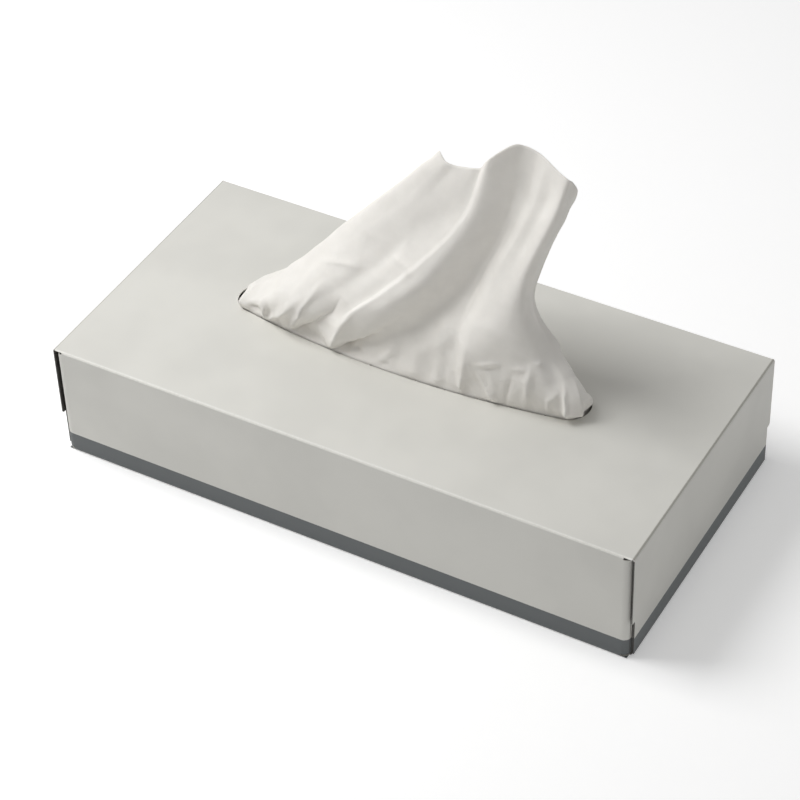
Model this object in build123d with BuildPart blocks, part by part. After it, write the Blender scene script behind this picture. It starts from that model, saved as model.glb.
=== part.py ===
"""Flat carton of facial tissues, with the first tissue raised through the slot in its top.

Units are millimetres. The origin is the middle of the carton's underside, X runs along the
carton, Y from its front to its back, and Z is up.
"""

from build123d import *

import os

# Carton
carton_length = 230.0
carton_width = 114.0
carton_height = 47.0
board = 0.4  # thickness of the paperboard
crease_radius = 1.0  # outside of the long creases and of the end creases
corner_radius = 2.8  # outside of the soft upright creases of the dust flaps
top_crown = 3.0  # rise of the top panel in its middle, over the full pack
panel_gap = 0.15  # air between two layers of board

# Flaps that close the carton
outer_flap_foot = 0.9  # height of the outer flap's lower edge
outer_flap_side = 0.5  # outer flap's upper part, in from the carton's width
outer_flap_step = 2.0  # its lower part is narrower by this on each side
outer_flap_step_height = 16.5
flap_corner_radius = 0.8
inner_flap_height = 30.0
inner_flap_side = 2.5
dust_flap_length = 36.0
dust_flap_side = 1.0  # dust flap's upper and lower edges, in from the panels
glue_flap_height = 14.0
seam_gap = 0.4  # height of the back panel's lower edge

# Slot torn open in the top panel
slot_length = 141.2
slot_width = 30.0
slot_end_radius = 8.5

# Pack of tissues
pack_end_gap = 11.0  # air between the pack and each end of the carton
pack_side_gap = 4.0  # air between the pack and the front and back of the carton
pack_top_gap = 5.5  # air between the pack and the straight edges of the top
pack_fold_radius = 4.0  # roundness of its long, folded sides

# Raised tissue
leaf_thickness = 0.5
leaf_gap = 0.3  # lower half of the tissue over the pack
slot_gap = 0.7  # middle of the tissue, in from the slot's edge
leaf_end_inset = 4.0  # lower half of the tissue, in from the pack's ends
leaf_back_inset = 5.0  # and in from the pack's back
turn_reach = 1.0  # how far behind the slot's edge the sheet turns up from the pack
strips_per_fold = 2  # straight strips that round the sheet from one fold line to the next

# Fold lines of the raised half, from its left edge to its right. Each leaves the slot at a share
# of the slot's half length and goes up through its points: x, y and the height over the carton's
# straight edges.
fold_lines = {
    "left_tail": (-0.995, (-63.5, 6, 6.5), (-52.5, 11, 14), (-32, 16, 32), (-13, 18, 50), (5, 19, 69)),
    "left_edge": (-0.96, (-63.5, 3, 5), (-48, 6, 20), (-27.5, 7, 45.5), (-9, 8, 64.5), (8.5, 9, 85.5)),
    "left_band": (-0.92, (-58, -1, 5.5), (-37.5, 1, 25.5), (-18.5, 2, 47), (-2.5, 3, 64), (12.5, 5, 86)),
    "gather_1": (-0.80, (-50.5, -5, 8), (-31, 0, 23.5), (-12.5, 2.5, 43.5), (3, 4.5, 64), (16, 6, 84.5)),
    "hollow_1": (-0.67, (-43.5, -4, 5.5), (-27.5, 2, 19.5), (-8, 4, 41), (8.5, 6, 63), (19.5, 7.5, 83.5)),
    "gather_2": (-0.545, (-33.5, -7, 9), (-20.5, 0, 20.5), (-3, 4.5, 40), (13, 7, 63), (22, 8.5, 83.5)),
    "hollow_2": (-0.47, (-28.5, -5, 7), (-18, 3, 16), (1, 7, 38.5), (17.5, 9, 62), (24.5, 9, 84.5)),
    "long_crest": (-0.285, (-10.5, -11, 16.5), (2, -7, 28), (14.5, -3, 43), (26, 1.5, 69.5), (30, 5, 92.5)),
    "long_hollow": (-0.18, (-4.5, -4, 7.5), (7, 2, 17.5), (17.5, 7, 33.5), (30.5, 11, 65), (34.5, 12, 95)),
    "middle": (0.07, (9, -8, 8), (16, -1, 19), (22, 8, 33.5), (34.5, 12.5, 66), (38.5, 14, 94.5)),
    "hollow_3": (0.345, (20.5, -7, 6), (20, -1, 17.5), (26.5, 6.5, 38), (38, 12, 67.5), (43.5, 14, 93)),
    "limb": (0.42, (28, -11, 12), (28, -6, 24), (33, 1.5, 43.5), (44, 8, 72.5), (48.5, 11, 93.5)),
    "hollow_4": (0.55, (35.5, -8, 13), (34, -3.5, 26), (38, -0.5, 47), (48.5, 5, 75.5), (52.5, 8.5, 93.5)),
    "right_crest": (0.65, (46.5, -12, 19), (46, -8, 33), (45.5, -4, 51.5), (54, 2, 77.5), (57, 6, 93.5)),
    "hollow_5": (0.745, (49, -7, 13.5), (47, -4, 27.5), (46.5, -1.5, 49.5), (55, 4, 75), (59, 6.5, 92)),
    "gather_3": (0.845, (57, -9, 15.5), (50.5, -5, 27.5), (47, 1, 46.5), (56, 6, 74.5), (60, 8, 88.5)),
    "gather_4": (0.965, (64, -5, 13.5), (53.5, 1, 24), (44.5, 7, 38.5), (50.5, 13, 63.5), (54.5, 14, 74.5)),
    "right_edge": (0.995, (66.5, 0, 10), (54.5, 5, 23.5), (43, 11, 33.5), (46, 16, 55), (50, 17, 66.5)),
}

half_length = carton_length / 2
half_width = carton_width / 2
flat_length = half_length - crease_radius  # the top panel's crown ends at its creases
flat_width = half_width - crease_radius
inner_face = half_length - board - panel_gap  # outer face of the inner flaps
dust_face = inner_face - board - panel_gap  # outer face of the dust flaps
glue_face = half_width - board - panel_gap  # outer face of the glue flap
wall_half = dust_face - corner_radius  # where the front and back panels start to turn
pack_length = carton_length - 2 * pack_end_gap
pack_width = carton_width - 2 * pack_side_gap
pack_top = carton_height - pack_top_gap
pack_height = pack_top - board
leaf_foot = pack_top + leaf_gap  # underside of the tissue's lower half
leaf_half = pack_length / 2 - leaf_end_inset
leaf_back = pack_width / 2 - leaf_back_inset
os.makedirs("parts", exist_ok=True)


def top_height(x, y):
    """Height of the top panel's upper face at a point."""
    return carton_height + top_crown * (1 - (x / flat_length) ** 2) * (1 - (y / flat_width) ** 2)


def crowned_face(drop):
    """The top panel's upper face, a little larger than the panel, or with a drop its lower face."""
    reach_x = half_length + board
    reach_y = half_width + board
    end_x = 1 - (reach_x / flat_length) ** 2
    end_y = 1 - (reach_y / flat_width) ** 2
    rows = []
    for x, share_x in ((-reach_x, end_x), (0, 2 - end_x), (reach_x, end_x)):
        row = []
        for y, share_y in ((-reach_y, end_y), (0, 2 - end_y), (reach_y, end_y)):
            row.append((x, y, carton_height - drop + top_crown * share_x * share_y))
        rows.append(row)
    return Face.make_bezier_surface(rows)


def folded_leaf(plane, corner, tip, radius):
    """Section of a flap: a quarter turn of the board inside the corner, then a leaf to the tip."""
    rising = tip > corner[1]
    centre = (corner[0] - radius, corner[1] + radius if rising else corner[1] - radius)
    quarter = Align.MAX if rising else Align.MIN
    leaf = Align.MIN if rising else Align.MAX
    with BuildSketch(plane) as section:
        with Locations(centre):
            Circle(radius)
            Circle(radius - board, mode=Mode.SUBTRACT)
            Rectangle(radius, radius, align=(Align.MIN, quarter), mode=Mode.INTERSECT)
        with Locations((corner[0], centre[1])):
            Rectangle(board, abs(tip - centre[1]), align=(Align.MAX, leaf))
    return section.sketch


def slot_sizes(inset):
    """Half length, half width, end radius and side radius of the slot, smaller by the inset."""
    half = slot_length / 2 - inset
    side = slot_width / 2 - inset
    end = slot_end_radius - inset
    radius = ((half - end) ** 2 + side**2 - end**2) / (2 * (side - end))
    return half, side, end, radius


def slot_point(share):
    """Where a fold line passes the slot, just inside its front edge."""
    half, side, end, radius = slot_sizes(slot_gap)
    x = share * half
    if abs(x) < (half - end) * radius / (radius - end):
        y = radius - side - (radius**2 - x**2) ** 0.5
    else:
        y = -((end**2 - (abs(x) - half + end) ** 2) ** 0.5)
    return x, y, top_height(x, y)


# Space inside the sleeve of the carton
with BuildPart() as cavity:
    with Locations((0, 0, board)):
        Box(
            carton_length,
            carton_width - 2 * board,
            carton_height + top_crown,
            align=(Align.CENTER, Align.CENTER, Align.MIN),
        )
    split(bisect_by=crowned_face(board), keep=Keep.BOTTOM)
    long_edges = cavity.edges().filter_by(lambda edge: edge.length > carton_width)
    fillet(long_edges.group_by(Axis.Z)[0].sort_by(Axis.Y)[0], crease_radius - board)

# Flaps of one end, all creased from the same blank
with BuildPart() as end_flaps:
    # Dust flaps, turned in from the ends of the front and back panels
    dust_foot = board + dust_flap_side
    dust_flap = folded_leaf(
        Plane.XY.offset(dust_foot),
        (dust_face, -half_width),
        dust_flap_length - half_width,
        corner_radius,
    )
    front_dust_flap = extrude(dust_flap, amount=carton_height - 2 * dust_foot)
    mirror(front_dust_flap, about=Plane.XZ)

    # Inner flap, turned up from the bottom
    inner_flap = folded_leaf(Plane.XZ, (inner_face, 0), inner_flap_height, crease_radius)
    extrude(inner_flap, amount=half_width - inner_flap_side, both=True)

    # Outer flap, turned down from the top, with its lower part stepped in at both edges
    outer_half = half_width - outer_flap_side
    outer_flap = folded_leaf(
        Plane.XZ, (half_length, carton_height), outer_flap_step_height, crease_radius
    )
    extrude(outer_flap, amount=outer_half, both=True)
    with BuildSketch(Plane.YZ.offset(half_length - board)):
        with Locations((0, outer_flap_foot)):
            Rectangle(
                2 * (outer_half - outer_flap_step),
                outer_flap_step_height - outer_flap_foot,
                align=(Align.CENTER, Align.MIN),
            )
    extrude(amount=board)
    board_corners = end_flaps.edges().filter_by(Axis.X).filter_by_position(
        Axis.Z, outer_flap_step_height - board, outer_flap_step_height + board
    )
    fillet(board_corners.group_by(SortBy.DISTANCE)[-1], flap_corner_radius)

# Carton: one printed and creased blank, folded round the pack and glued
with BuildPart() as carton:
    # Sleeve of top, front, bottom and back panels
    Box(
        2 * flat_length,
        carton_width,
        carton_height + top_crown,
        align=(Align.CENTER, Align.CENTER, Align.MIN),
    )
    split(bisect_by=crowned_face(0), keep=Keep.BOTTOM)
    long_edges = carton.edges().filter_by(lambda edge: edge.length > carton_width)
    front_foot = long_edges.group_by(Axis.Z)[0].sort_by(Axis.Y)[0]
    fillet([front_foot] + long_edges.group_by(Axis.Z)[-1], crease_radius)
    add(cavity.part, mode=Mode.SUBTRACT)

    # The walls stop where the dust flaps turn in, and the bottom where the inner flaps turn up
    with BuildSketch(Plane.XY.offset(board)):
        Rectangle(carton_length, carton_width)
        Rectangle(2 * wall_half, carton_width, mode=Mode.SUBTRACT)
    extrude(amount=carton_height - 2 * board, mode=Mode.SUBTRACT)
    with BuildSketch(Plane.XY):
        Rectangle(carton_length, carton_width)
        Rectangle(2 * (inner_face - crease_radius), carton_width, mode=Mode.SUBTRACT)
    extrude(amount=board, mode=Mode.SUBTRACT)

    # Glued seam at the foot of the back panel, with the glue flap inside it
    with BuildSketch(Plane.YZ):
        with Locations((glue_face - crease_radius, 0)):
            Rectangle(half_width, seam_gap, align=(Align.MIN, Align.MIN))
            Rectangle(
                crease_radius + panel_gap, crease_radius, align=(Align.MIN, Align.MIN)
            )
    extrude(amount=half_length, both=True, mode=Mode.SUBTRACT)
    glue_flap = folded_leaf(Plane.YZ, (glue_face, 0), glue_flap_height, crease_radius)
    extrude(glue_flap, amount=wall_half, both=True)

    # End flaps, and the slot through the top panel
    add(end_flaps.part)
    mirror(end_flaps.part, about=Plane.YZ)
    half, side, end, radius = slot_sizes(0)
    with BuildSketch(Plane.XY.offset(carton_height - crease_radius)) as slot:
        with Locations((0, radius - side)):
            Circle(radius)
        with Locations((0, side - radius)):
            Circle(radius, mode=Mode.INTERSECT)
        fillet(slot.vertices(), end)
    extrude(amount=crease_radius + top_crown, mode=Mode.SUBTRACT)

carton.part.label = "carton"
export_step(carton.part, "parts/carton.step")

# Pack of interfolded tissues, with its folded sides along the carton
with BuildPart() as tissue_pack:
    with BuildSketch(Plane.YZ):
        with Locations((0, board + pack_height / 2)):
            RectangleRounded(pack_width, pack_height, pack_fold_radius)
    extrude(amount=pack_length / 2, both=True)

tissue_pack.part.label = "tissue_pack"
export_step(tissue_pack.part, "parts/tissue_pack.step")


# Raised tissue: one sheet, its lower half flat on the pack and its upper half up through the slot
def tissue_net():
    """Points of the sheet's front face: a line of them for each fold, from the rear edge inside
    the carton forward over the pack, up past the slot's edge and on to the free edge."""
    net = []
    for index, (share, *points) in enumerate(fold_lines.values()):
        x, y, height = slot_point(share)
        spread = 2 * index / (len(fold_lines) - 1) - 1
        rear = (spread * leaf_half, leaf_back, leaf_foot)
        turn = (x, y + turn_reach, leaf_foot)
        rising = [(px, py, carton_height + rise) for px, py, rise in points]
        net.append([Vector(*point) for point in [rear, turn, (x, y, height), *rising]])
    return net


def behind(net, distance):
    """The same net moved back along the sheet's own normals."""
    moved = []
    last = len(net) - 1
    for index, line in enumerate(net):
        left, right = net[max(index - 1, 0)], net[min(index + 1, last)]
        top = len(line) - 1
        shifted = []
        for row, point in enumerate(line):
            along = line[min(row + 1, top)] - line[max(row - 1, 0)]
            normal = along.cross(right[row] - left[row]).normalized()
            shifted.append(point + normal * distance)
        moved.append(shifted)
    return moved


def between(before, start, end, after, share):
    """Point of a smooth curve through four points, at a share of its middle span."""
    bend = before * 2 - start * 5 + end * 4 - after
    turn = (start - end) * 3 - before + after
    return start + ((end - before) * share + bend * share**2 + turn * share**3) * 0.5


def strip_lines(net):
    """Lines up the sheet, with rounded ones in between the folds, in three parts: over the pack,
    up to the slot, and above it."""
    lines = []
    last = len(net) - 1
    for index in range(last):
        folds = [net[max(index - 1, 0)], net[index], net[index + 1], net[min(index + 2, last)]]
        for step in range(strips_per_fold):
            share = step / strips_per_fold
            lines.append([between(*points, share) for points in zip(*folds)])
    lines.append(net[last])
    reach = [0.0]
    for row in range(3, len(net[0])):
        steps = [(line[row] - line[row - 1]).length for line in net]
        reach.append(reach[-1] + sum(steps) / len(steps))
    lying = [Edge.make_line(line[0], line[1]) for line in lines]
    rising = [Edge.make_line(line[1], line[2]) for line in lines]
    free = [Edge.make_spline(line[2:], parameters=reach) for line in lines]
    return lying, rising, free


def ruled(first, second):
    """Straight-ruled face between two edges."""
    return Face.make_surface_from_curves(first, second)


fronts = strip_lines(tissue_net())
backs = strip_lines(behind(tissue_net(), leaf_thickness))
faces = []
for front, back in zip(fronts, backs):
    faces += [ruled(front[0], back[0]), ruled(front[-1], back[-1])]
    for side in (front, back):
        faces += [ruled(left, right) for left, right in zip(side, side[1:])]
for front, back, end in ((fronts[0], backs[0], 0), (fronts[-1], backs[-1], 1)):
    front_hem = [Edge.make_line(left @ end, right @ end) for left, right in zip(front, front[1:])]
    back_hem = [Edge.make_line(left @ end, right @ end) for left, right in zip(back, back[1:])]
    faces += [ruled(*hems) for hems in zip(front_hem, back_hem)]
with BuildPart() as raised_tissue:
    add(Solid(Shell(faces)))

raised_tissue.part.label = "raised_tissue"
export_step(raised_tissue.part, "parts/raised_tissue.step")
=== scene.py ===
import bisect
import math

import bmesh
import bpy
from mathutils import Matrix, Vector, noise


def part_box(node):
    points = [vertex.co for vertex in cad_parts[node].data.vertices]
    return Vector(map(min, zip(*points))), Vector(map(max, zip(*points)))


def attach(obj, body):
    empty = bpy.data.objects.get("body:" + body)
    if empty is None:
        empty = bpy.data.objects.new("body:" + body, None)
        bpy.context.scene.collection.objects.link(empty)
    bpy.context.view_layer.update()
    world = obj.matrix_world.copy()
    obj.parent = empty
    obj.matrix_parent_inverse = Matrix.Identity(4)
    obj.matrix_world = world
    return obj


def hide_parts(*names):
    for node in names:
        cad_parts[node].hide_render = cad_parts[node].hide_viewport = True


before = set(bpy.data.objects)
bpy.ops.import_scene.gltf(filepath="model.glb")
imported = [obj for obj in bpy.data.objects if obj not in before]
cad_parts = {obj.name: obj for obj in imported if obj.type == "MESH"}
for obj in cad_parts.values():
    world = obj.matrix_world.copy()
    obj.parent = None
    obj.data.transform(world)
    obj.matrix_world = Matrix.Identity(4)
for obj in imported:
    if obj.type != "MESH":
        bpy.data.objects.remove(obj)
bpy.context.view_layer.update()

# Carton
# A sleeve of printed paperboard, folded from one blank and glued along its back seam, with tucked
# and glued flaps at both ends. The print is a warm light grey with a dark grey band round the foot.
CARTON_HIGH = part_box("carton")[1]
BOARD = 0.0004
SLOT_LENGTH = 0.1412
SLOT_WIDTH = 0.030
BAND_HEIGHT = 0.0084
BAND_RISE = 0.0003
PRINT_COLOUR = (0.86, 0.855, 0.83)
BAND_COLOUR = (0.375, 0.39, 0.395)
RAW_BOARD_COLOUR = (0.90, 0.89, 0.86)
# Painted highlight along the long folds
FOLD_HIGHLIGHT_COLOUR = (0.95, 0.945, 0.925)
# Painted shade in the slits at the ends
SLIT_SHADE_COLOUR = (0.26, 0.25, 0.24)
# Painted shade in the end creases
END_CREASE_SHADE_COLOUR = (0.66, 0.65, 0.62)
DULL_PRINT = 0.97
HIGHLIGHT_START = 0.0010
HIGHLIGHT_FULL = 0.0004
BAND_SOFTNESS = 0.0002
END_LINE = 0.0005
END_LINE_INSET = 2 * BOARD
CARTON_TOP = 0.047
TOP_CROWN = 0.003
FLAT_LENGTH = 0.114
FLAT_WIDTH = 0.056
CORNER_RADIUS = 0.0028
CORNER_X = 0.1111
CORNER_Y = CARTON_HIGH.y - CORNER_RADIUS

# Slits at the ends, where the flaps' cut edges and backs are painted with shade: their depth, how far
# under the top they start, how much of a cut edge's normal lies along Y, and how much of a flap back's
# normal points inward, times its x
SLIT_DEPTH = 0.0013
SLIT_TOP = 2 * BOARD
CUT_FACING = 0.3
FLAP_FACING = 0.1


def linear(colour):
    """A display colour as the linear one that a shader takes."""
    return (*[((part + 0.055) / 1.055) ** 2.4 if part > 0.04 else part / 12.92 for part in colour], 1.0)


def add_node(tree, kind, **settings):
    """A new node, with its settings, and its inputs set or linked by name or number."""
    node = tree.nodes.new(kind)
    inputs = settings.pop("inputs", {})
    for name, value in settings.items():
        setattr(node, name, value)
    for name, value in inputs.items():
        if isinstance(value, bpy.types.NodeSocket):
            tree.links.new(value, node.inputs[name])
        else:
            node.inputs[name].default_value = value
    return node


def calculate(tree, operation, *values):
    """A Math node's result."""
    node = add_node(tree, "ShaderNodeMath", operation=operation, inputs=dict(enumerate(values)))
    return node.outputs[0]


def step(tree, value, low, high):
    """0 below low, 1 above high and a soft step in between, as a mask."""
    node = add_node(
        tree,
        "ShaderNodeMapRange",
        interpolation_type="SMOOTHSTEP",
        inputs={"Value": value, "From Min": low, "From Max": high},
    )
    return node.outputs["Result"]


def mix(tree, share, first, second):
    """The second colour over the first one, by a mask."""
    node = add_node(tree, "ShaderNodeMix", data_type="RGBA", inputs={0: share, 6: first, 7: second})
    return node.outputs[2]


def new_material(name, roughness):
    """A material with its Principled shader, and its tree."""
    material = bpy.data.materials.new(name)
    material.use_nodes = True
    shader = material.node_tree.nodes["Principled BSDF"]
    shader.inputs["Roughness"].default_value = roughness
    return material, material.node_tree, shader


def cover(piece, material):
    """Gives the whole piece one material."""
    piece.data.materials.clear()
    piece.data.materials.append(material)
    for face in piece.data.polygons:
        face.material_index = 0


def make_fibre_group():
    """Paper fibres: a soft cloudy tone and a fine tangle of raised fibres."""
    group = bpy.data.node_groups.new("paper_fibres", "ShaderNodeTree")
    group.interface.new_socket("Vector", in_out="INPUT", socket_type="NodeSocketVector")
    group.interface.new_socket("Cloud Size", in_out="INPUT", socket_type="NodeSocketFloat")
    group.interface.new_socket("Fibre Size", in_out="INPUT", socket_type="NodeSocketFloat")
    group.interface.new_socket("Clouds", in_out="OUTPUT", socket_type="NodeSocketFloat")
    group.interface.new_socket("Fibres", in_out="OUTPUT", socket_type="NodeSocketFloat")
    entry = add_node(group, "NodeGroupInput")
    cloud_scale = calculate(group, "DIVIDE", 1.0, entry.outputs["Cloud Size"])
    fibre_scale = calculate(group, "DIVIDE", 1.0, entry.outputs["Fibre Size"])
    clouds = add_node(
        group,
        "ShaderNodeTexNoise",
        inputs={"Vector": entry.outputs["Vector"], "Scale": cloud_scale, "Detail": 3.0, "Roughness": 0.55},
    )
    fibres = add_node(
        group,
        "ShaderNodeTexNoise",
        inputs={"Vector": entry.outputs["Vector"], "Scale": fibre_scale, "Detail": 4.0, "Distortion": 2.5},
    )
    leave = add_node(group, "NodeGroupOutput")
    group.links.new(clouds.outputs[0], leave.inputs["Clouds"])
    group.links.new(fibres.outputs[0], leave.inputs["Fibres"])
    return group


paper_fibres = make_fibre_group()


def add_paper(tree, coordinates, cloud_size, fibre_size):
    """Clouds and fibres of paper, at their sizes in metres."""
    sizes = {"Vector": coordinates, "Cloud Size": cloud_size, "Fibre Size": fibre_size}
    paper = add_node(tree, "ShaderNodeGroup", node_tree=paper_fibres, inputs=sizes)
    return paper.outputs["Clouds"], paper.outputs["Fibres"]


def roughen(tree, shader, height, strength, distance):
    """Fine relief over the whole surface."""
    relief = {"Strength": strength, "Distance": distance, "Height": height}
    bump = add_node(tree, "ShaderNodeBump", inputs=relief)
    tree.links.new(bump.outputs["Normal"], shader.inputs["Normal"])


def fold_highlight(tree, away_y, z, fibres):
    """Mask of a painted highlight along the sleeve's long folds, broken up by the board's fibres."""
    fold_y = step(tree, away_y, CARTON_HIGH.y - HIGHLIGHT_START, CARTON_HIGH.y - HIGHLIGHT_FULL)
    fold_z = step(tree, z, CARTON_TOP - HIGHLIGHT_START, CARTON_TOP - HIGHLIGHT_FULL)
    fold = calculate(tree, "MULTIPLY", fold_y, fold_z)
    return calculate(tree, "MULTIPLY", fold, step(tree, fibres, low=0.3, high=0.6))


def foot_band(tree, z, fibres):
    """Mask of the dark band round the foot, with a slightly uneven upper edge."""
    level = calculate(tree, "ADD", z, calculate(tree, "MULTIPLY", fibres, BAND_RISE))
    above = step(tree, level, BAND_HEIGHT, BAND_HEIGHT + BAND_SOFTNESS)
    return calculate(tree, "SUBTRACT", 1.0, above)


def sleeve_inside(tree, away_x, away_y, z):
    """Mask of the board's inner side, by the distance from the middle of the rounded corners and
    the height under the crowned top."""
    past_x = calculate(tree, "MAXIMUM", calculate(tree, "SUBTRACT", away_x, CORNER_X), 0.0)
    past_y = calculate(tree, "MAXIMUM", calculate(tree, "SUBTRACT", away_y, CORNER_Y), 0.0)
    reach = add_node(tree, "ShaderNodeCombineXYZ", inputs={"X": past_x, "Y": past_y}).outputs[0]
    reach = add_node(tree, "ShaderNodeVectorMath", operation="LENGTH", inputs={0: reach}).outputs["Value"]
    arch = 1.0
    for away, flat in ((away_x, FLAT_LENGTH), (away_y, FLAT_WIDTH)):
        fall = calculate(tree, "POWER", calculate(tree, "DIVIDE", away, flat), 2.0)
        arch = calculate(tree, "MULTIPLY", arch, calculate(tree, "SUBTRACT", 1.0, fall))
    ceiling = calculate(tree, "MULTIPLY_ADD", arch, TOP_CROWN, CARTON_TOP - BOARD / 2)
    inside = calculate(tree, "LESS_THAN", reach, CORNER_RADIUS - BOARD / 2)
    inside = calculate(tree, "MULTIPLY", inside, calculate(tree, "LESS_THAN", z, ceiling))
    return calculate(tree, "MULTIPLY", inside, calculate(tree, "GREATER_THAN", z, BOARD / 2))


def end_crease_shade(tree, away_x, z, fibres):
    """Mask of painted shade in the outer end flaps' creases, a thin broken line along the top's ends."""
    wander = calculate(tree, "MULTIPLY_ADD", fibres, END_LINE, CARTON_HIGH.x - END_LINE_INSET)
    off_line = calculate(tree, "ABSOLUTE", calculate(tree, "SUBTRACT", away_x, wander))
    off_line = step(tree, off_line, low=0.3 * END_LINE, high=0.9 * END_LINE)
    line = calculate(tree, "SUBTRACT", 1.0, off_line)
    return calculate(tree, "MULTIPLY", line, calculate(tree, "GREATER_THAN", z, CARTON_TOP - BOARD))


def slit_shade(tree, x, away_x, z):
    """Mask of painted shade on the outer end flaps' cut edges and backs, which lie in the slits at the
    ends.
    """
    normal = add_node(tree, "ShaderNodeNewGeometry").outputs["True Normal"]
    facing = add_node(tree, "ShaderNodeSeparateXYZ", inputs={0: normal})
    inward = calculate(tree, "MULTIPLY", facing.outputs["X"], x)
    back = calculate(tree, "LESS_THAN", inward, -FLAP_FACING)
    cut = calculate(tree, "GREATER_THAN", calculate(tree, "ABSOLUTE", facing.outputs["Y"]), CUT_FACING)
    near_end = calculate(tree, "GREATER_THAN", away_x, CARTON_HIGH.x - SLIT_DEPTH)
    slit = calculate(tree, "MULTIPLY", calculate(tree, "MAXIMUM", cut, back), near_end)
    return calculate(tree, "MULTIPLY", slit, calculate(tree, "LESS_THAN", z, CARTON_TOP - SLIT_TOP))


def make_board():
    """Printed board outside, with the band, a painted highlight along the long folds, painted shade in the
    end creases and on the flap edges and backs in the end slits, and the raw board inside.
    """
    material, tree, shader = new_material("printed_board", roughness=0.55)
    coordinates = add_node(tree, "ShaderNodeTexCoord").outputs["Object"]
    x, y, z = add_node(tree, "ShaderNodeSeparateXYZ", inputs={0: coordinates}).outputs
    away_x = calculate(tree, "ABSOLUTE", x)
    away_y = calculate(tree, "ABSOLUTE", y)
    clouds, fibres = add_paper(tree, coordinates, cloud_size=0.05, fibre_size=0.0007)
    dull_print = [part * DULL_PRINT for part in PRINT_COLOUR]
    colour = mix(tree, step(tree, clouds, low=0.35, high=0.65), linear(dull_print), linear(PRINT_COLOUR))
    # Painted highlight along the long folds
    colour = mix(tree, fold_highlight(tree, away_y, z, fibres), colour, linear(FOLD_HIGHLIGHT_COLOUR))
    colour = mix(tree, foot_band(tree, z, fibres), colour, linear(BAND_COLOUR))
    colour = mix(tree, sleeve_inside(tree, away_x, away_y, z), colour, linear(RAW_BOARD_COLOUR))
    # Painted shade line in the end creases
    colour = mix(tree, end_crease_shade(tree, away_x, z, fibres), colour, linear(END_CREASE_SHADE_COLOUR))
    # Painted shade on the flap edges and backs in the end slits
    colour = mix(tree, slit_shade(tree, x, away_x, z), colour, linear(SLIT_SHADE_COLOUR))
    tree.links.new(colour, shader.inputs["Base Color"])
    roughen(tree, shader, fibres, strength=0.12, distance=0.0002)
    return material


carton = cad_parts["carton"]
cover(carton, make_board())

# Slot edge
# The slot was torn open along a row of small cuts, so a nick of raw board fibre is left standing
# every few millimetres along both of its long edges.
SLOT_END_RADIUS = 0.0085
NICK_PITCH = 0.0115
NICK_LENGTH = 0.0007
NICK_WIDTH = 0.0011
NICK_TIP = 0.25
NICK_COUNT = 6
NICK_WANDER = 0.4
NICK_SEED = 0.5
NICK_SIDES = 8
NICK_COLOUR = (0.60, 0.58, 0.55)
NICK_SHADE = 0.75


def top_height(x, y):
    """Height of the crowned top panel."""
    return CARTON_TOP + TOP_CROWN * (1 - (x / FLAT_LENGTH) ** 2) * (1 - (y / FLAT_WIDTH) ** 2)


def slot_edge(x, inset):
    """How far the slot's long edge is from the slot's middle line."""
    half = SLOT_LENGTH / 2 - inset
    side = SLOT_WIDTH / 2 - inset
    end = SLOT_END_RADIUS - inset
    radius = ((half - end) ** 2 + side**2 - end**2) / (2 * (side - end))
    if abs(x) < (half - end) * radius / (radius - end):
        return (radius**2 - x**2) ** 0.5 - (radius - side)
    return max(end**2 - (abs(x) - half + end) ** 2, 0) ** 0.5


def add_piece(name, mesh):
    """A new piece of the scene from its finished mesh."""
    data = bpy.data.meshes.new(name)
    mesh.to_mesh(data)
    mesh.free()
    piece = bpy.data.objects.new(name, data)
    bpy.context.collection.objects.link(piece)
    return piece


def make_nicks():
    """Torn nicks as small flat cones that point into the slot."""
    mesh = bmesh.new()
    for side in (-1, 1):
        for index in range(-NICK_COUNT, NICK_COUNT + 1):
            shift = noise.noise(Vector((index, side, NICK_SEED)))
            x = (index + NICK_WANDER * shift) * NICK_PITCH
            if abs(x) > SLOT_LENGTH / 2 - SLOT_END_RADIUS:
                continue
            y = side * slot_edge(x, 0)
            length = NICK_LENGTH * (1 + shift)
            place = Matrix.Translation((x, y - side * length / 2, top_height(x, y) - BOARD / 2))
            point_in = Matrix.Rotation(side * math.pi / 2, 4, "X")
            flatten = Matrix.Diagonal((1, 1, BOARD / NICK_WIDTH, 1))
            bmesh.ops.create_cone(
                mesh,
                cap_ends=True,
                segments=NICK_SIDES,
                radius1=NICK_WIDTH / 2,
                radius2=NICK_TIP * NICK_WIDTH / 2,
                depth=length,
                matrix=place @ flatten @ point_in,
            )
    bmesh.ops.recalc_face_normals(mesh, faces=mesh.faces[:])
    return add_piece("slot_nicks", mesh)


def make_torn_board():
    """Raw grey board fibre, rough and uneven."""
    material, tree, shader = new_material("torn_board", roughness=0.9)
    coordinates = add_node(tree, "ShaderNodeTexCoord").outputs["Object"]
    fibres = add_paper(tree, coordinates, cloud_size=0.001, fibre_size=0.0002)[1]
    tone = step(tree, fibres, low=0.35, high=0.65)
    dark = [part * NICK_SHADE for part in NICK_COLOUR]
    tree.links.new(mix(tree, tone, linear(dark), linear(NICK_COLOUR)), shader.inputs["Base Color"])
    roughen(tree, shader, fibres, strength=0.6, distance=0.0001)
    return material


slot_nicks = make_nicks()
cover(slot_nicks, make_torn_board())
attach(slot_nicks, "root")

# Tissue pack
# A block of folded white tissues that fills the carton, each one folded into the next.
# It shows only through the slot, as soft leaves lying flat.
PACK_COLOUR = (0.93, 0.925, 0.91)
# Painted shade in the gaps between the stacked leaves
LEAF_SHADE = 0.8
LEAF_FIBRES = 0.4
LEAF_PITCH = 0.0008


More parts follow.
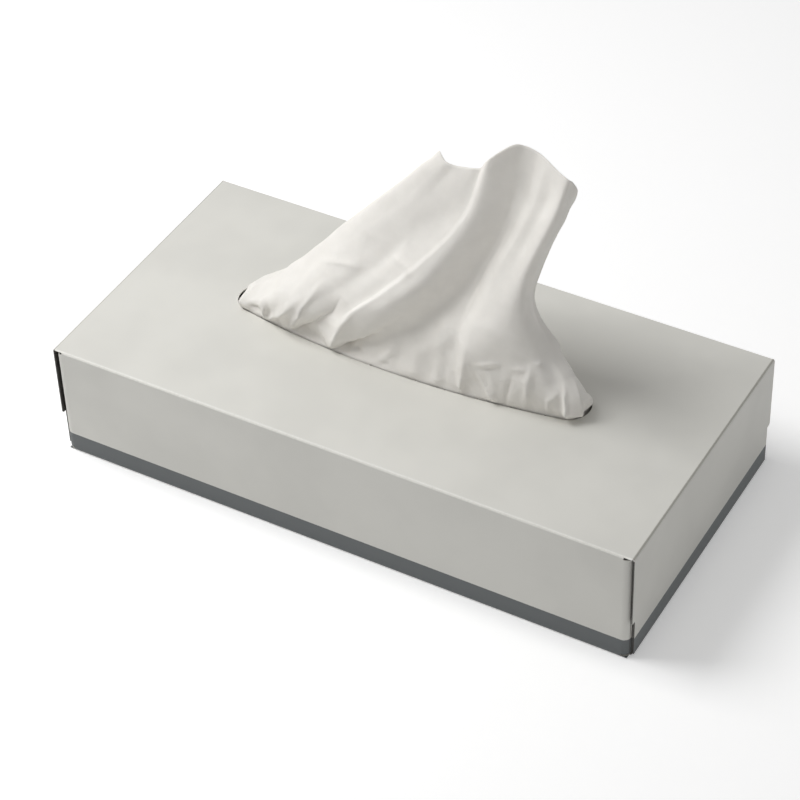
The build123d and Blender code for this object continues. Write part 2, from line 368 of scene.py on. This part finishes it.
def make_pack_paper():
    """Stacked leaves: thin lines of painted shade between them round the sides and a soft embossed top."""
    material, tree, shader = new_material("stacked_tissue", roughness=0.9)
    coordinates = add_node(tree, "ShaderNodeTexCoord").outputs["Object"]
    clouds, fibres = add_paper(tree, coordinates, cloud_size=0.01, fibre_size=0.0004)
    height = add_node(tree, "ShaderNodeSeparateXYZ", inputs={0: coordinates}).outputs["Z"]
    wobble = calculate(tree, "MULTIPLY", clouds, LEAF_PITCH)
    level = calculate(tree, "DIVIDE", calculate(tree, "ADD", height, wobble), LEAF_PITCH)
    leaf = calculate(tree, "PINGPONG", level, 0.5)
    edge = step(tree, leaf, low=0.05, high=0.25)
    shade = [part * LEAF_SHADE for part in PACK_COLOUR]
    colour = mix(tree, edge, linear(shade), linear(PACK_COLOUR))
    tree.links.new(colour, shader.inputs["Base Color"])
    relief = calculate(tree, "MULTIPLY_ADD", fibres, LEAF_FIBRES, edge)
    roughen(tree, shader, relief, strength=0.5, distance=0.0003)
    return material


tissue_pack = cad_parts["tissue_pack"]
cover(tissue_pack, make_pack_paper())

# Raised tissue
# One sheet of soft two-ply tissue. Its lower half lies on the pack and its upper half is drawn up
# through the slot, gathered at its foot, in long soft folds that lean to the right, and turned in
# behind itself at both sides.
TISSUE_COLOUR = (0.945, 0.932, 0.908)
TISSUE_SHADE = 0.985
PLY = 0.0003
MM = 0.001

# Fold lines from the sheet's left edge to its right. Each leaves the slot at a share of the slot's
# half length, past 1 on the slot's rear side, and goes up through its points, in millimetres: x, y
# and the height over the carton's straight edges.
FOLDS = {
    "left_hem": (
        -1.3, (-26, 10, 6), (-12, 14, 14), (8, 15, 31), (24, 17, 48), (38, 18, 66)
    ),
    "left_back": (
        -1.12, (-51, 10, 4.5), (-37, 15, 13), (-16, 17.5, 32), (3, 18.5, 50), (20, 19.5, 68)
    ),
    "left_tail": (
        -1.04, (-65.5, 7, 4), (-52.5, 11, 14), (-32, 14.5, 33), (-13, 16, 51), (5, 17, 70)
    ),
    "left_turn": (
        -1.015, (-67, 3, 5), (-53, 8, 14), (-31, 11, 38.5), (-13, 12, 58), (6.5, 13, 79.5)
    ),
    "left_edge": (
        -0.985, (-62, -2, 7.5), (-47, 3, 23), (-26.5, 6, 45.5), (-9, 7.5, 65), (8.5, 9, 85.5)
    ),
    "left_band": (
        -0.93, (-52, -9.5, 13.5), (-36, -4, 28.5), (-19, 1.5, 47), (-3, 4.5, 64), (12, 7, 84)
    ),
    "gather_1": (
        -0.8, (-44, -12.5, 14.5), (-26.5, -7.5, 30.5), (-10.5, -0.5, 46.5), (3.5, 3.5, 64.5), (16, 7, 83.5)
    ),
    "hollow_1": (
        -0.67, (-37.5, -13, 14.5), (-20.5, -8.5, 29.5), (-5, -1.5, 45), (9, 3, 64.5), (20, 6.5, 84.5)
    ),
    "gather_2": (
        -0.53, (-30, -13, 14.5), (-15, -9.5, 29.5), (1, -2.5, 46.5), (15.5, 2.5, 66), (23, 6, 85.5)
    ),
    "hollow_2": (
        -0.42, (-23.5, -13, 14.5), (-9.5, -10, 29), (7, -3.5, 47.5), (20.5, 2, 67.5), (26.5, 6, 87)
    ),
    "long_crest": (
        -0.285, (-9.5, -13.5, 20), (3.5, -11, 34.5), (14.5, -5, 47.5), (25.5, 1, 68.5), (30, 5, 92.5)
    ),
    "long_hollow": (
        -0.17, (-3, -10.5, 13), (10.5, -5.5, 25.5), (22.5, 0.5, 42.5), (34, 5, 70), (36.5, 8, 98)
    ),
    "middle": (
        0.07, (11, -11.5, 11), (19.5, -7.5, 25), (27, 0.5, 42), (37, 6, 71.5), (40.5, 9.5, 98)
    ),
    "hollow_3": (
        0.345, (23, -11.5, 10.5), (24.5, -8.5, 24.5), (30, -0.5, 44.5), (40.5, 5.5, 72.5), (45, 9.5, 97)
    ),
    "limb": (
        0.42, (28.5, -12, 12), (30.5, -10, 28), (34, -2, 47), (45, 4, 75.5), (49.5, 8, 96)
    ),
    "hollow_4": (
        0.55, (37.5, -11, 14), (37.5, -9.5, 31.5), (39.5, -3, 49), (49.5, 3.5, 77), (54, 6.5, 94.5)
    ),
    "right_crest": (
        0.65, (46, -11, 15.5), (44.5, -8, 32.5), (45.5, -4, 51.5), (55, 1, 78.5), (58.5, 5, 93.5)
    ),
    "hollow_5": (
        0.745, (52.5, -10, 15), (48.5, -7, 30.5), (47.5, -3, 50.5), (56.5, 3, 76), (59.5, 6.5, 91.5)
    ),
    "gather_3": (
        0.845, (58.5, -9, 14), (51.5, -5.5, 28.5), (47.5, -0.5, 48), (57, 5, 75.5), (60.5, 7.5, 88.5)
    ),
    "hollow_6": (
        0.9, (62.5, -6.5, 12.5), (53, -3, 27), (46.5, 3, 43.5), (54.5, 8, 71), (58.5, 10, 81.5)
    ),
    "gather_4": (
        0.965, (66.5, -5, 12), (54.5, 0, 25.5), (44.5, 7, 38.5), (50.5, 13, 63.5), (54.5, 14, 74.5)
    ),
    "right_edge": (
        1.015, (68, 0, 8.5), (55, 5, 23.5), (43, 11, 33.5), (46, 16, 55), (50, 17, 66.5)
    ),
    "right_back": (
        1.1, (56, 7, 7), (42, 11, 18), (30, 15.5, 28), (32, 20, 49), (36, 21, 61)
    ),
    "right_hem": (
        1.25, (38, 9, 6), (24, 12, 15), (12, 15, 24), (14, 19, 44), (19, 20, 57)
    ),
}
SLOT_GAP = 0.0007
LOWER_LEAF_LENGTH = 0.200
LOWER_LEAF_BACK = 0.048
TURN_REACH = 0.001
LEAF_FOOT = 0.0418
COLUMNS = 320
FLAT_ROWS = 6
RISE_ROWS = 8
FREE_ROWS = 136

# Crumples: small facets among broad ones, deepest near the slot, with their cells bent by a drift
CRUMPLE_CELL = 0.011
CRUMPLE_DEPTH = 0.0022
CRUMPLE_LEAST = 0.2
CRUMPLE_REACH = 0.018
CRUMPLE_MEAN = 1.2
BROAD_RATE = 0.45
BROAD_SHARE = 1.6
DRIFT_RATE = 0.7
DRIFT = 0.5
DRIFT_SEEDS = (11, 23, 37)

# Gathers: short waves at the slot, uneven in pitch and in height
GATHER_PITCH = 0.009
GATHER_DEPTH = 0.0012
GATHER_REACH = 0.007
GATHER_MEAN = 0.5
GATHER_WANDER = 1.2
WANDER_RATE = 0.6
WANDER_SEED = 5
SIZE_RATE = 0.9
SIZE_SEED = 9

# Over this lip above the slot the crumples, gathers and creases grow from nothing
LIP = 0.003

# Single creases. Each has its height, less than 0 for a hollow, and the widths of its left and
# right flank in millimetres, then its points: across the sheet from 0 to 1, and up from the slot.
CREASES = {
    "puff_ridge": (2.4, 2, 3, (0.29, 0), (0.255, 0.16), (0.23, 0.25)),
    "puff_tuck": (-1.1, 0.8, 0.8, (0.295, 0.05), (0.315, 0.06), (0.335, 0.04)),
    "pleat_1_ridge": (1.9, 3, 1.5, (0.341, 0), (0.316, 0.12), (0.28, 0.19)),
    "pleat_1": (2.2, 2.5, 2, (0.342, 0), (0.347, 0.17), (0.338, 0.28)),
    "pleat_2_ridge": (1.8, 2.5, 1.5, (0.378, 0), (0.372, 0.185), (0.347, 0.30), (0.328, 0.38)),
    "pleat_2": (-3.5, 2, 6, (0.381, 0), (0.398, 0.147), (0.405, 0.256), (0.383, 0.356)),
    "lip": (-1.4, 0.9, 0.9, (0.381, 0.01), (0.422, 0.03), (0.45, 0.014)),
    "pleat_3": (-4.2, 1.5, 6, (0.453, 0), (0.50, 0.113), (0.505, 0.174), (0.503, 0.338)),
    "long_crest": (2.2, 6, 3, (0.452, 0), (0.441, 0.28), (0.447, 0.45), (0.444, 0.62), (0.462, 0.94)),
    "arc": (1.3, 4, 0.6, (0.541, 0), (0.543, 0.075), (0.541, 0.146), (0.532, 0.25)),
    "pleat_5": (1.8, 3, 1.5, (0.624, 0), (0.635, 0.18), (0.632, 0.36)),
    "pleat_5_ridge": (1.3, 1.5, 1.5, (0.68, 0), (0.664, 0.156), (0.655, 0.25)),
    "cross_1": (0.8, 0.7, 0.7, (0.65, 0.253), (0.67, 0.26), (0.692, 0.267)),
    "cross_2": (-0.6, 0.7, 0.7, (0.653, 0.23), (0.696, 0.245)),
    "cross_3": (0.8, 0.7, 0.7, (0.704, 0.245), (0.726, 0.268)),
    "cross_4": (0.8, 0.7, 0.7, (0.738, 0.313), (0.766, 0.332)),
    "pleat_6": (-1.6, 1.5, 3, (0.694, 0), (0.70, 0.15), (0.709, 0.253)),
    "pleat_6_edge": (1.9, 3, 1, (0.722, 0), (0.727, 0.218), (0.734, 0.309)),
    "pleat_7": (1.9, 2, 1.2, (0.748, 0), (0.751, 0.138), (0.771, 0.214)),
    "pleat_8": (2.2, 4, 0.8, (0.795, 0), (0.788, 0.184), (0.797, 0.263)),
    "pleat_9": (2.2, 3, 0.8, (0.814, 0), (0.816, 0.196), (0.826, 0.279)),
    "bend_1": (1, 1.5, 1.5, (0.287, 0.434), (0.325, 0.468), (0.351, 0.487)),
    "bend_2": (1, 1.5, 1.5, (0.366, 0.59), (0.424, 0.558), (0.454, 0.529)),
}
CREASE_STEPS = 4
CREASE_REACH = 3.5
CREASE_PINCH = 0.4


def slot_point(share):
    """Where a fold line passes the slot, just inside its front edge, or past 1 its rear edge."""
    rear = abs(share) > 1
    x = (math.copysign(2, share) - share if rear else share) * (SLOT_LENGTH / 2 - SLOT_GAP)
    y = slot_edge(x, SLOT_GAP) if rear else -slot_edge(x, SLOT_GAP)
    return Vector((x, y, top_height(x, y)))


def tissue_net():
    """Points of each fold from the rear edge on the pack up to the free edge."""
    net = []
    for index, (share, *points) in enumerate(FOLDS.values()):
        slot = slot_point(share)
        spread = index / (len(FOLDS) - 1) - 0.5
        rear = Vector((spread * LOWER_LEAF_LENGTH, LOWER_LEAF_BACK, LEAF_FOOT))
        turn = Vector((slot.x, slot.y + TURN_REACH, LEAF_FOOT))
        rise = [Vector(point) * MM + Vector((0, 0, CARTON_TOP)) for point in points]
        net.append([rear, turn, slot, *rise])
    return net


def fold_places(net):
    """How far across the sheet each fold is, from 0 to 1, by the mean distance between folds."""
    reach = [0.0]
    for left, right in zip(net, net[1:]):
        gaps = [(there - here).length for here, there in zip(left[2:], right[2:])]
        reach.append(reach[-1] + sum(gaps) / len(gaps))
    return [distance / reach[-1] for distance in reach]


def smooth_at(points, place):
    """The point at a place along a smooth curve through the points."""
    last = len(points) - 1
    start = min(int(place), last - 1)
    share = place - start
    first, second = points[start], points[start + 1]
    before = points[start - 1] if start else first * 2 - second
    after = points[start + 2] if start + 2 <= last else second * 2 - first
    bend = before * 2 - first * 5 + second * 4 - after
    turn = (first - second) * 3 - before + after
    return first + ((second - before) * share + bend * share**2 + turn * share**3) * 0.5


def crumple(place, away):
    """Height of the sheet's facets at a place, by its distance from the slot."""
    point = place / CRUMPLE_CELL
    drift = [noise.noise(point * DRIFT_RATE + Vector((0, 0, seed))) for seed in DRIFT_SEEDS]
    point += Vector(drift) * DRIFT
    small = noise.voronoi(point)[0][0]
    broad = noise.voronoi(point * BROAD_RATE)[0][0]
    amount = CRUMPLE_LEAST + (1 - CRUMPLE_LEAST) * math.exp(-away / CRUMPLE_REACH)
    return (small + broad * BROAD_SHARE - CRUMPLE_MEAN) * CRUMPLE_DEPTH * amount


def gather(place, away):
    """Height of the gathers at a place, by its distance from the slot."""
    along = place.x / GATHER_PITCH
    wander = noise.noise(Vector((along * WANDER_RATE, 0, WANDER_SEED)))
    size = GATHER_MEAN + noise.noise(Vector((along * SIZE_RATE, 0, SIZE_SEED)))
    wave = math.cos((along + wander * GATHER_WANDER) * math.tau)
    return wave * size * GATHER_DEPTH * math.exp(-away / GATHER_REACH)


def sheet_point(net, folds, across, up):
    """The smooth sheet's point, across from 0 to 1 and up from -1 at its turn to 1 at its top."""
    fold = min(max(bisect.bisect_right(folds, across), 1), len(folds) - 1)
    share = (across - folds[fold - 1]) / (folds[fold] - folds[fold - 1])
    level = up * (len(net[0]) - 3) if up > 0 else up
    first = max(fold - 3, 0)
    line = [smooth_at(points[1:], level + 1) for points in net[first:fold + 3]]
    return smooth_at(line, fold - 1 - first + share)


def crease_lines(net, folds):
    """The single creases' lines in space, each with its rise, the width of its flanks in metres
    and whether it starts at the slot."""
    creases = []
    for rise, left, right, *points in CREASES.values():
        line = []
        for (start, low), (end, high) in zip(points, points[1:]):
            for index in range(CREASE_STEPS):
                share = index / CREASE_STEPS
                across = start + (end - start) * share
                up = low + (high - low) * share
                line.append(sheet_point(net, folds, across, up))
        line.append(sheet_point(net, folds, *points[-1]))
        creases.append((rise * MM, left * MM, right * MM, points[0][1] == 0, line))
    return creases


def crease_height(place, normal, creases):
    """Sum of the single creases at a place. One that starts at the slot is highest and narrowest
    there, and any other one is highest at its middle."""
    height = 0.0
    for rise, left, right, from_slot, line in creases:
        reach = CREASE_REACH * max(left, right)
        if min((place - point).length for point in line) > reach:
            continue
        nearest = math.inf
        for index, (start, end) in enumerate(zip(line, line[1:])):
            run = end - start
            share = min(max((place - start).dot(run) / run.length_squared, 0), 1)
            away = place - start - run * share
            if away.length < nearest:
                nearest = away.length
                width = left if run.cross(away).dot(normal) > 0 else right
                progress = (index + share) / (len(line) - 1)
        if from_slot:
            width *= CREASE_PINCH + (1 - CREASE_PINCH) * progress
            fade = 1 - progress**2
        else:
            fade = math.sin(progress * math.pi)
        height += rise * fade * math.exp(-nearest / width)
    return height


def lay_sheet(mesh, net, folds):
    """Lays the grid on the pack, up through the slot and over the folds. Gives the place of each
    point across and up the sheet."""
    rows = FLAT_ROWS + RISE_ROWS + FREE_ROWS
    places = []
    for point in mesh.verts:
        across = point.co.x + 0.5
        row = round((point.co.y + 0.5) * rows) - FLAT_ROWS - RISE_ROWS
        up = row / FREE_ROWS if row > 0 else max(row / RISE_ROWS, -1)
        places.append((across, up))
        point.co = sheet_point(net, folds, across, up)
        if row < -RISE_ROWS:
            rear = Vector(((across - 0.5) * LOWER_LEAF_LENGTH, LOWER_LEAF_BACK, LEAF_FOOT))
            point.co = point.co.lerp(rear, (-RISE_ROWS - row) / FLAT_ROWS)
    return places


def wrinkle_sheet(mesh, net, folds, places):
    """Moves the free part of the sheet along its normals by its crumples, gathers and creases."""
    creases = crease_lines(net, folds)
    columns = {across for across, _ in places}
    slot_line = {across: sheet_point(net, folds, across, 0) for across in columns}
    moves = []
    for point, (across, up) in zip(mesh.verts, places):
        away = (point.co - slot_line[across]).length
        height = 0.0
        if up > 0:
            height = crumple(point.co, away) + gather(point.co, away)
            height += crease_height(point.co, point.normal, creases)
        moves.append(point.normal * height * min(away / LIP, 1))
    for point, move in zip(mesh.verts, moves):
        point.co += move


def make_tissue():
    """The sheet as a fine grid laid over the folds, wrinkled, and thick as its two plies."""
    net = tissue_net()
    folds = fold_places(net)
    rows = FLAT_ROWS + RISE_ROWS + FREE_ROWS
    mesh = bmesh.new()
    bmesh.ops.create_grid(mesh, x_segments=COLUMNS, y_segments=rows, size=0.5, calc_uvs=False)
    uv = mesh.loops.layers.uv.new("sheet")
    for face in mesh.faces:
        face.smooth = True
        for loop in face.loops:
            loop[uv].uv = (loop.vert.co.x + 0.5, loop.vert.co.y + 0.5)
    places = lay_sheet(mesh, net, folds)
    bmesh.ops.recalc_face_normals(mesh, faces=mesh.faces[:])
    mesh.normal_update()
    wrinkle_sheet(mesh, net, folds, places)
    tissue = add_piece("drawn_tissue", mesh)
    plies = tissue.modifiers.new("two_plies", "SOLIDIFY")
    plies.thickness = PLY
    plies.offset = 0.0
    return tissue


def make_tissue_paper():
    """Soft white tissue: a cloudy tone and a fine tangle of fibres, lit through a little."""
    material, tree, shader = new_material("soft_tissue", roughness=0.95)
    coordinates = add_node(tree, "ShaderNodeTexCoord").outputs["Object"]
    clouds, fibres = add_paper(tree, coordinates, cloud_size=0.006, fibre_size=0.0005)
    dull = [part * TISSUE_SHADE for part in TISSUE_COLOUR]
    colour = mix(tree, step(tree, clouds, low=0.3, high=0.7), linear(dull), linear(TISSUE_COLOUR))
    tree.links.new(colour, shader.inputs["Base Color"])
    roughen(tree, shader, fibres, strength=0.25, distance=0.0003)
    shader.inputs["Subsurface Weight"].default_value = 0.25
    shader.inputs["Subsurface Radius"].default_value = (1.0, 0.97, 0.93)
    shader.inputs["Subsurface Scale"].default_value = 0.0005
    return material


tissue = make_tissue()
cover(tissue, make_tissue_paper())
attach(tissue, "root")
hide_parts("raised_tissue")

# Floor, light and camera
# A plain white table under a large soft window light from the left, with a weak reflector at the
# right and a pale sky all round, seen from above the front.
FLOOR_SIZE = 6.0
FLOOR_COLOUR = (0.97, 0.97, 0.97)
FLOOR_GLOW = 0.25
CAMERA_PLACE = (0.36873, -0.62348, 0.66186)
CAMERA_AZIMUTH = 30.955
CAMERA_ELEVATION = 41.301
CAMERA_ROLL = -2.233
CAMERA_LENS = 120.7
LAMP_TARGET = (0.0, 0.0, 0.05)
LAMPS = {
    "window": ((-0.43, -0.125, 0.71), 0.4, 4.4),
    "reflector": ((0.45, 0.35, 0.15), 0.3, 0.08),
}
SKY_STRENGTH = 0.345


def seen_directly(tree):
    """1 for what the camera sees, straight or in a reflection, and 0 for the light it gives."""
    rays = add_node(tree, "ShaderNodeLightPath")
    seen = calculate(tree, "MAXIMUM", rays.outputs["Is Camera Ray"], rays.outputs["Is Glossy Ray"])
    return calculate(tree, "MAXIMUM", seen, rays.outputs["Is Transmission Ray"])


floor_mesh = bmesh.new()
bmesh.ops.create_grid(floor_mesh, x_segments=1, y_segments=1, size=FLOOR_SIZE / 2)
floor = add_piece("floor", floor_mesh)
floor_material, floor_tree, floor_shader = new_material("table_top", roughness=0.9)
floor_shader.inputs["Base Color"].default_value = linear(FLOOR_COLOUR)
floor_shader.inputs["Emission Color"].default_value = (1.0, 1.0, 1.0, 1.0)
glow = calculate(floor_tree, "MULTIPLY", seen_directly(floor_tree), FLOOR_GLOW)
floor_tree.links.new(glow, floor_shader.inputs["Emission Strength"])
cover(floor, floor_material)

world = bpy.data.worlds.new("studio")
bpy.context.scene.world = world
world.use_nodes = True
sky = world.node_tree.nodes["Background"]
sky.inputs["Color"].default_value = (1.0, 1.0, 1.0, 1.0)
strength = calculate(world.node_tree, "MAXIMUM", seen_directly(world.node_tree), SKY_STRENGTH)
world.node_tree.links.new(strength, sky.inputs["Strength"])

for name, (place, size, power) in LAMPS.items():
    lamp_data = bpy.data.lights.new(name, "AREA")
    lamp_data.size = size
    lamp_data.energy = power
    lamp = bpy.data.objects.new(name, lamp_data)
    lamp.location = place
    lamp.rotation_euler = (Vector(LAMP_TARGET) - Vector(place)).to_track_quat("-Z", "Y").to_euler()
    bpy.context.collection.objects.link(lamp)

camera_data = bpy.data.cameras.new("camera")
camera_data.lens = CAMERA_LENS
camera = bpy.data.objects.new("camera", camera_data)
turn = Matrix.Rotation(math.radians(CAMERA_AZIMUTH), 4, "Z")
tilt = Matrix.Rotation(math.radians(90 - CAMERA_ELEVATION), 4, "X")
roll = Matrix.Rotation(math.radians(CAMERA_ROLL), 4, "Z")
camera.matrix_world = Matrix.Translation(CAMERA_PLACE) @ turn @ tilt @ roll
bpy.context.collection.objects.link(camera)
bpy.context.scene.camera = camera

bpy.context.scene.view_settings.view_transform = "Standard"
